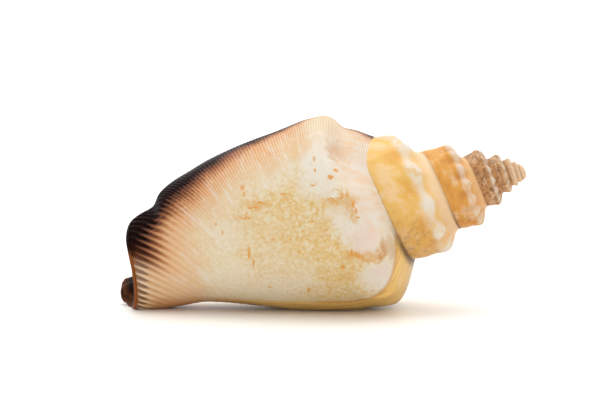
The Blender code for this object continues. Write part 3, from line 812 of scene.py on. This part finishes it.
class ShellPaint:
    """The colours of the shell, mixed from its own marks and soft patches."""

    def __init__(self, board, look):
        self.board = board
        self.look = look
        self.turn, self.across, self.cord = board.mark("coil")
        self.lip, self.dark, self.side = board.mark("mouth")
        self.grown, self.rim, self.groove = board.mark("skin")
        knob = board.mark("knobs")[0]
        self.spot = board.add("ShaderNodeTexCoord", output=3)
        self.x, self.y, self.z = [part * (1.0 / MM) for part in board.parts(self.spot)]
        self.front = self.y.rise(1.5, -1.5)
        self.low = self.z - self.x * 0.17
        flow = board.vector(self.grown, self.cord * 0.4)
        self.stripe = (self.cord * (2.0 * math.pi)).cosine() * 0.5 + 0.5
        self.lobe = (knob * (2.0 * math.pi)).cosine() * 0.5 + 0.5
        self.broad = board.noise(flow, 0.25, 2.0)
        self.patch = board.noise(flow, 0.6, 3.0, 0.6)
        self.fine = self.weave(self.grown * 2.4, self.cord, 2.0, 0.7)
        self.bands = self.weave(self.grown * 2.6, self.cord * 0.07)
        warp = board.noise(self.spot, 420.0, 3.0, 0.6)
        other = board.noise(self.spot, 370.0, 3.0, 0.6, 0.4)
        self.tiny = board.noise(self.spot, 2300.0, 2.0, 0.6)
        self.wavy_x = self.x + (warp - 0.5) * 4.0
        self.wavy_z = self.z + (other - 0.5) * 4.0 + (self.tiny - 0.5) * 1.2
        self.past = self.beyond()
        self.darkness = self.past.rise(0.4, -0.4)

    def lay(self, colour, *coats):
        """A colour under coats of others, each with the share of it that shows."""
        for share, coat in coats:
            colour = self.board.mix(share, colour, coat)
        return colour

    def weave(self, x, y, detail=2.0, rough=0.5):
        """Noise stretched along two of the marks."""
        return self.board.noise(self.board.vector(x, y), 1.0, detail, rough)

    def spots(self, places, x, z, reach, core=0.0):
        """Soft spots on the photographed side."""
        total = None
        for across, up, wide, high, *strength in places:
            off_x = (x - across) / wide
            off_z = (z - up) / high
            hill = (off_x * off_x + off_z * off_z).rise(reach, core, 0.0, *strength)
            total = hill if total is None else total.at_least(hill)
        return total * self.front

    def patches(self, places):
        return self.spots(places, self.wavy_x, self.wavy_z, 1.9)

    def specks(self, places):
        shaky_x = self.x + (self.fine - 0.5) * 0.5
        shaky_z = self.z + (self.tiny - 0.5) * 0.9
        return self.spots(places, shaky_x, shaky_z, 1.4, 0.1)

    def body(self):
        look = self.look
        behind = 1.0 - self.front
        ochre = self.patches(OCHRE_PATCHES).at_least(self.broad.rise(0.42, 0.6) * behind)
        ochre = ochre * self.patch.rise(0.2, 0.5, 0.65, 1.0)
        white = self.patches(WHITE_PATCHES).at_least(self.patch.rise(0.5, 0.68) * behind)
        colour = self.lay(look.cream, (ochre, look.ochre), (white * 0.92, look.white))
        colour = self.flecks(colour, ochre, white)
        torn = self.tiny.rise(0.36, 0.5, 0.45, 1.0)
        dashes = self.weave(self.grown * 1.3, self.cord * 0.5, 1.0)
        dashes = dashes.rise(0.68, 0.74) * self.fine.rise(0.45, 0.6)
        colour = self.lay(
            colour, (self.patches(PINK_PATCHES) * 0.7, look.pink),
            (self.patches(STAIN_PATCHES) * torn * 0.9, look.stain),
            (self.patches(BROWN_PATCHES) * (0.8 + 0.2 * torn), look.rust_deep),
            (self.specks(MARKS).at_least(dashes * 0.5) * 0.85, look.orange))
        # Tan with painted shade of the turned-under side, past the fold under the lobes.
        colour = self.shaded_brim(colour)
        ramp = self.across.rise(0.30, 0.12) * self.rim.rise(0.2, -0.1)
        wisps = self.weave(self.grown * 0.8, self.across * 6.0, 3.0, 0.6)
        pale = self.lay(look.white, (wisps.rise(0.36, 0.66), look.blush))
        return self.near_lip(self.lay(colour, (ramp * self.z.rise(8.0, 11.0) * 0.6, pale)))

    def flecks(self, colour, ochre, white):
        """Pale and amber flecks in a loose grid along the growth lines."""
        cells = self.tiny * 1.3 + self.stripe * 0.10 + self.bands * 0.28
        inland = self.lip.rise(1.5, 6.0)
        deep = cells.rise(0.82, 0.66) * inland * (1.0 - white * 0.7)
        pale = cells.rise(0.86, 1.02) * inland * self.patch.rise(0.3, 0.6, 0.4, 1.0)
        return self.lay(colour, (deep * (0.12 + 0.4 * ochre), self.look.ochre_deep),
                        (pale * 0.62, self.look.fleck))

    def shaded_brim(self, colour):
        """Tan past the fold that runs under the shoulder lobes and along the belly: partly the
        shell's own tan with deeper amber streaks, partly painted shade of the turned-under side,
        with a painted shadow line along the fold.
        """
        look = self.look
        out = (self.x + (self.fine - 0.5) * 0.4 - SHADED_BRIM[0]) / SHADED_BRIM[2]
        down = (SHADED_BRIM[1] - self.z + (self.tiny - 0.5) * 0.5) / SHADED_BRIM[3]
        fold = out.at_least(0.0) ** SHADED_BRIM_POWER + down.at_least(0.0) ** SHADED_BRIM_POWER
        front = self.y.rise(2.0, -4.0)
        streaks = self.weave(self.grown * 1.8, self.across * 2.0, 3.0, 0.6)
        tan = self.lay(look.sand, (streaks.rise(0.40, 0.66) * 0.55, look.amber_deep))
        # Painted shadow line along the fold under the lobes.
        line = (fold - 1.03).absolute().rise(0.13, 0.0) * front
        return self.lay(colour, (fold.rise(0.93, 1.10) * front * 0.85, tan),
                        (line * 0.5 * self.x.rise(-3.0, 3.0), look.amber_deep))

    def near_lip(self, colour):
        look = self.look
        lip = self.lip + self.broad * 4.0 - 2.0
        zone = self.rim.rise(-0.42, -0.25) * (0.45 + 0.55 * self.patch.rise(0.3, 0.6))
        streaks = self.weave(self.cord * 0.45, self.lip * 0.22, 2.0, 0.6)
        streaks = streaks.rise(0.50, 0.66) * lip.rise(16.0, 11.0) * zone
        furrow = (1.0 - self.stripe) ** 2.0
        lines = lip.rise(12.0, 6.0) * furrow * self.patch.rise(0.2, 0.5, 0.4, 1.0)
        lines = lines * self.rim.rise(-0.5, -0.3, 0.3, 0.62) * self.rim.rise(6.5, 3.5, 0.15, 1.0)
        neck = lip.rise(12.0, 2.0) * self.rim.rise(4.0, 7.0)
        grooves = furrow * self.lip.rise(5.5, 0.8, 0.2, 0.85)
        # Painted highlight along the crests of the cords close to the lower rim and the canal.
        cord_highlights = self.stripe ** 5.0 * self.lip.rise(5.0, 0.6) * self.rim.rise(3.0, 6.5)
        # Deeper amber on the lowest part near the lip: partly the shell's own colour, partly
        # painted shade of the underside.
        belly = self.rim.rise(6.0, 8.0) * self.z.rise(2.4, 0.6) * self.lip.rise(0.5, 3.0)
        return self.lay(
            colour, (lip.rise(14.0, 6.5) * zone * 0.76, look.peach),
            (streaks * 0.6, look.white), (lines, look.tan),
            (neck * 0.9, self.lay(look.neck, (grooves, look.neck_low))),
            (cord_highlights * 0.45, look.fleck), (belly * 0.6, look.amber_deep))

    def spire(self):
        look = self.look
        early = self.turn.rise(-1.93, -2.03)
        late = 1.0 - early
        last = self.turn.rise(-1.3, -1.02)
        # Deeper yellow, used both for painted shade in the hollows between the knobs and for darker
        # bands of the shell's own colour.
        hollow = self.lay(look.amber_deep, (last, look.straw_deep))
        crest = self.across - 0.35 + (self.broad - 0.5) * 0.10
        # Painted shade in the hollows beside the knob crests.
        painted_hollow_shade = (1.0 - self.lobe) ** 1.5 * crest.hill(0.14, 0.30)
        bands = self.weave(self.grown * 0.5, self.across * 3.0, 3.0, 0.6)
        ramp = self.across.rise(0.30, 0.12) * (0.75 - 0.35 * self.turn.rise(-1.0, -1.3))
        # Pale ridge along the knob crests: partly the shell's own white knobs, partly a painted
        # highlight along the crest.
        ridge = (crest + (self.patch - 0.5) * 0.15).absolute() - (0.05 + 0.05 * self.lobe)
        white = ridge.rise(0.07, -0.04) * (0.6 + 0.4 * self.lobe)
        gaps = self.patch.rise(0.36, 0.5, 0.35, 1.0)
        pits = self.board.noise(self.spot, 2300.0, 3.0, 0.7)
        pits = pits.rise(0.46, 0.62) * (1.0 - white) * early * self.turn.rise(-5.2, -3.6)
        dust = self.board.noise(self.spot, 1500.0, 3.0, 0.7)
        dust = dust.rise(0.46, 0.62) * self.low.rise(10.6, 8.2) * self.front
        return self.lay(
            look.amber, (last, look.straw), (early, look.drab), (painted_hollow_shade * 0.65 * late, hollow),
            (bands.rise(0.48, 0.62) * crest.rise(-0.1, 0.15) * 0.5, look.pale_ramp),
            (bands.rise(0.48, 0.34) * late * 0.4, hollow), (ramp * late, look.pale_ramp),
            (white * gaps * self.turn.rise(-1.9, -1.2, 0.6, 0.95), look.white),
            (pits * 0.6, look.umber), (self.turn.rise(-3.6, -5.0) * 0.5, look.pale_ramp),
            # Painted shade: tan over the lower front of the spire.
            (self.low.rise(12.5, 7.0) * self.front * 0.22 * (1.0 - white), look.tan),
            (dust * 0.26 * self.across.rise(0.35, 0.6), look.umber))

    def painted_suture_shade(self, colour):
        """Painted shade in the suture creases: a dark umber thread, darkest towards the bottom."""
        strength = 0.25 + 0.65 * self.low.rise(11.5, 6.5)
        above = self.across.rise(0.05, 0.005) * self.turn.rise(0.30, 0.12)
        below = self.across.rise(0.955, 0.995) * self.turn.rise(-0.44, -0.46) * 0.8
        umber = self.look.umber
        return self.lay(colour, (above * strength, umber), (below * strength, umber))

    def beyond(self):
        """Millimetres past the black margin, which runs out along the grooves."""
        groove = 1.0 - self.stripe ** 1.5
        width = self.dark * (0.8 + 0.5 * self.broad) + self.groove * groove
        return self.lip - width - (self.fine - 0.5) * self.dark.rise(0.5, 3.0, 0.5, 2.0)

    def margin(self, colour):
        look = self.look
        past = self.past / self.rim.rise(-0.4, 3.0, 0.8, 1.4)
        there = self.dark.rise(0.1, 0.8)
        low = self.rim.rise(7.6, 9.0)
        pale = self.rim.rise(8.4, 9.6) * self.rim.rise(11.6, 10.6)
        thin = (self.dark - self.lip).rise(-0.05, 0.1)
        edge = self.lay(look.black, (self.rim.rise(8.6, 9.4), look.chestnut))
        dark = self.lay(look.black, (low, self.lay(look.brown, (pale, look.lilac))), (thin, edge))
        strength = self.darkness * (1.0 - low * (0.25 + 0.2 * self.stripe))
        return self.lay(
            colour, (past.rise(4.4, 0.6) * there * 0.7, look.rust),
            (past.rise(2.3, 0.2) ** 0.6 * there * 0.94, look.chestnut),
            (past.rise(1.5, 0.1) * there * 0.9, look.brown), (strength, dark))

    def inside(self):
        look = self.look
        depth = 0.0 - self.lip
        far = self.lay(look.far_wall, (depth.rise(0.5, 2.0), look.black))
        inner = self.lay(
            look.brown, (depth.rise(4.0, 10.0), look.mouth),
            (self.stripe * depth.rise(14.0, 5.0) * 0.4, look.umber),
            (depth.rise(4.6, 2.6), look.black), (self.rim.rise(13.2, 14.0), far),
            (depth.rise(0.7, 0.3) * self.rim.rise(8.2, 9.0), look.chestnut))
        pillar = self.lay(look.mouth, (self.rim.rise(9.0, 14.0), look.brown),
                          (self.rim.rise(12.5, 14.5), far))
        return self.lay(inner, (self.side.rise(1.4, 1.6), pillar))

    def grain(self):
        """Height of the finest relief."""
        striae = self.stripe * 0.45 + self.bands * 0.35 + self.fine * 0.3
        striae = striae * (0.4 + 0.6 * self.rim.rise(6.0, 1.0))
        early = self.turn.rise(-1.7, -2.1)
        pores = self.board.noise(self.spot, 1800.0, 3.0, 0.6) * early * 2.0
        return striae * (1.0 - early * 0.6) + pores


def tone(name, colour):
    return FloatVectorProperty(name=name, description=name + " of the shell", size=4, min=0.0,
                               max=1.0, subtype="COLOR", default=linear(*colour))


class ConchShape(PropertyGroup):
    knob_height: FloatProperty(name="Knob height", description="Height of the shoulder knobs "
                               "against the grown shell's", default=1.0, min=0.0, max=3.0)
    knob_sharpness: FloatProperty(name="Knob sharpness", description="How narrow the knobs are",
                                  default=1.0, min=0.5, max=6.0)
    cord_height: FloatProperty(name="Cord height", description="Height of the spiral cords "
                               "against the grown shell's", default=1.0, min=0.0, max=3.0)
    growth_line: FloatProperty(name="Growth line height", description="Height of the growth "
                               "lines, in millimetres", default=0.10, min=0.0, max=1.0)


class ConchLook(PropertyGroup):
    cream: tone("Cream", (235, 219, 184))
    white: tone("White", (240, 234, 222))
    fleck: tone("Fleck", (240, 234, 216))
    ochre: tone("Ochre", (234, 204, 144))
    ochre_deep: tone("Deep ochre", (218, 168, 90))
    orange: tone("Orange", (230, 156, 52))
    stain: tone("Stain", (226, 162, 66))
    pink: tone("Pink", (240, 212, 200))
    blush: tone("Blush", (246, 206, 168))
    peach: tone("Peach", (236, 184, 136))
    tan: tone("Tan", (200, 132, 74))
    sand: tone("Sand", (255, 210, 108))
    neck: tone("Neck", (236, 200, 156))
    neck_low: tone("Neck grooves", (210, 158, 106))
    rust: tone("Rust", (216, 146, 90))
    rust_deep: tone("Deep rust", (184, 112, 36))
    chestnut: tone("Chestnut", (150, 82, 38))
    brown: tone("Brown", (84, 42, 22))
    lilac: tone("Grey lilac", (112, 90, 88))
    far_wall: tone("Far wall", (98, 56, 32))
    black: tone("Black", (26, 8, 4))
    amber: tone("Amber", (236, 172, 84))
    amber_deep: tone("Deep amber", (202, 132, 58))
    straw: tone("Straw", (248, 202, 116))
    straw_deep: tone("Deep straw", (228, 164, 64))
    pale_ramp: tone("Pale ramp", (255, 226, 190))
    drab: tone("Drab", (202, 150, 98))
    umber: tone("Umber", (98, 62, 40))
    mouth: tone("Mouth", (240, 222, 198))


class ConchStage(PropertyGroup):
    azimuth: FloatProperty(name="Azimuth", description="Camera's turn round the shell, degrees",
                           default=0.0)
    elevation: FloatProperty(name="Elevation", description="Camera's height, degrees",
                             default=6.0)
    lens: FloatProperty(name="Lens", description="Focal length of the camera", default=135.0,
                        unit="CAMERA")
    view_width: FloatProperty(name="View width", description="Width seen at the shell",
                              default=0.0729, unit="LENGTH")
    centre_x: FloatProperty(name="Centre across", description="Middle of the view, along X",
                            default=-0.00182, unit="LENGTH")
    centre_z: FloatProperty(name="Centre height", description="Middle of the view, along Z",
                            default=0.01255, unit="LENGTH")
    floor_size: FloatProperty(name="Floor size", description="Width of the round pale floor",
                              default=0.84, unit="LENGTH")
    sky: FloatProperty(name="Sky strength", description="Strength of the even white light",
                       default=1.16, min=0.0)
    key: FloatProperty(name="Key light", description="Power of the soft light above, in watts",
                       default=1.0, min=0.0)


class CONCH_OT_shell(Operator):
    """Grow the shell with its knobs, cords and colours"""
    bl_idname = "conch.shell"
    bl_label = "Shell"

    def execute(self, context):
        scene = context.scene
        material = shell_material(scene.conch_look)
        base = bpy.data.objects.new("shell_base", base_mesh())
        scene.collection.objects.link(base)
        relief = base.modifiers.new("relief", "NODES")
        relief.node_group = relief_tree()
        shape = scene.conch_shape
        values = {"Knob height": shape.knob_height, "Knob sharpness": shape.knob_sharpness,
                  "Cord height": shape.cord_height, "Growth line height": shape.growth_line,
                  "Shell material": material}
        for socket in relief.node_group.interface.items_tree:
            if socket.in_out == "INPUT" and socket.name in values:
                relief[socket.identifier] = values[socket.name]
        graph = context.evaluated_depsgraph_get()
        mesh = bpy.data.meshes.new_from_object(base.evaluated_get(graph))
        base.modifiers.remove(relief)
        bpy.data.objects.remove(base, do_unlink=True)
        if len(mesh.polygons) == 0:
            raise RuntimeError("the relief left no faces")
        mesh.name = "conch_shell"
        mesh.polygons.foreach_set("use_smooth", [True] * len(mesh.polygons))
        shell = bpy.data.objects.new("conch_shell", mesh)
        scene.collection.objects.link(shell)
        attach(shell, "root")
        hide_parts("shell")
        return {"FINISHED"}


class CONCH_OT_stage(Operator):
    """Lay the pale floor and set the soft lights and the camera"""
    bl_idname = "conch.stage"
    bl_label = "Stage"

    def execute(self, context):
        scene = context.scene
        stage = scene.conch_stage
        self.floor(scene, stage.floor_size)
        self.sky(scene, stage.sky)
        self.lamp(scene, stage.key)
        self.camera(scene, stage)
        scene.view_settings.view_transform = "Standard"
        return {"FINISHED"}

    def floor(self, scene, size):
        mesh = bpy.data.meshes.new("floor")
        turns = [2.0 * math.pi * k / FLOOR_SIDES for k in range(FLOOR_SIDES)]
        corners = [(0.5 * size * math.cos(a), 0.5 * size * math.sin(a), 0.0) for a in turns]
        mesh.from_pydata(corners, [], [tuple(range(FLOOR_SIDES))])
        material = bpy.data.materials.new("pale floor")
        material.use_nodes = True
        board = Board(material.node_tree)
        surface = material.node_tree.nodes["Principled BSDF"]
        grain = board.noise(board.add("ShaderNodeTexCoord", output=3), 40.0, 2.0)
        material.node_tree.links.new((0.42 + 0.06 * grain).socket, surface.inputs["Roughness"])
        surface.inputs["Base Color"].default_value = (0.93, 0.90, 0.86, 1.0)
        surface.inputs["Specular IOR Level"].default_value = 0.3
        mesh.materials.append(material)
        floor = bpy.data.objects.new("floor", mesh)
        scene.collection.objects.link(floor)

    def sky(self, scene, strength):
        world = bpy.data.worlds.new("white room")
        world.use_nodes = True
        back = world.node_tree.nodes["Background"]
        back.inputs["Color"].default_value = (1.0, 1.0, 1.0, 1.0)
        back.inputs["Strength"].default_value = strength
        scene.world = world

    def lamp(self, scene, power):
        light = bpy.data.lights.new("key", "AREA")
        light.shape = "DISK"
        light.size = KEY_SIZE
        light.energy = power
        lamp = bpy.data.objects.new("key", light)
        lamp.location = KEY_PLACE
        aim = Vector(KEY_AIM) - Vector(KEY_PLACE)
        lamp.rotation_euler = aim.to_track_quat("-Z", "Y").to_euler()
        scene.collection.objects.link(lamp)

    def camera(self, scene, stage):
        camera = bpy.data.cameras.new("camera")
        camera.lens = stage.lens
        camera.sensor_width = SENSOR
        camera.clip_start = 0.01
        camera.clip_end = 20.0
        distance = stage.view_width * stage.lens / SENSOR
        turn = math.radians(stage.azimuth)
        rise = math.radians(stage.elevation)
        target = Vector((stage.centre_x, 0.0, stage.centre_z))
        away = Vector((math.sin(turn) * math.cos(rise), -math.cos(turn) * math.cos(rise),
                       math.sin(rise)))
        holder = bpy.data.objects.new("camera", camera)
        holder.location = target + away * distance
        holder.rotation_euler = (-away).to_track_quat("-Z", "Y").to_euler()
        scene.collection.objects.link(holder)
        scene.camera = holder


class CONCH_PT_panel(Panel):
    bl_label = "Little bear conch"
    bl_idname = "CONCH_PT_panel"
    bl_space_type = "VIEW_3D"
    bl_region_type = "UI"
    bl_category = "Conch"

    def draw(self, context):
        scene = context.scene
        for group in (scene.conch_shape, scene.conch_look, scene.conch_stage):
            box = self.layout.box()
            for name in group.__annotations__:
                box.prop(group, name)
        self.layout.operator(CONCH_OT_shell.bl_idname)
        self.layout.operator(CONCH_OT_stage.bl_idname)


CLASSES = (ConchShape, ConchLook, ConchStage, CONCH_OT_shell, CONCH_OT_stage, CONCH_PT_panel)


def register():
    for item in CLASSES:
        bpy.utils.register_class(item)
    bpy.types.Scene.conch_shape = PointerProperty(type=ConchShape)
    bpy.types.Scene.conch_look = PointerProperty(type=ConchLook)
    bpy.types.Scene.conch_stage = PointerProperty(type=ConchStage)


def unregister():
    del bpy.types.Scene.conch_shape
    del bpy.types.Scene.conch_look
    del bpy.types.Scene.conch_stage
    for item in reversed(CLASSES):
        bpy.utils.unregister_class(item)


def main():
    register()
    bpy.ops.conch.shell()
    bpy.ops.conch.stage()


if __name__ == "__main__":
    main()
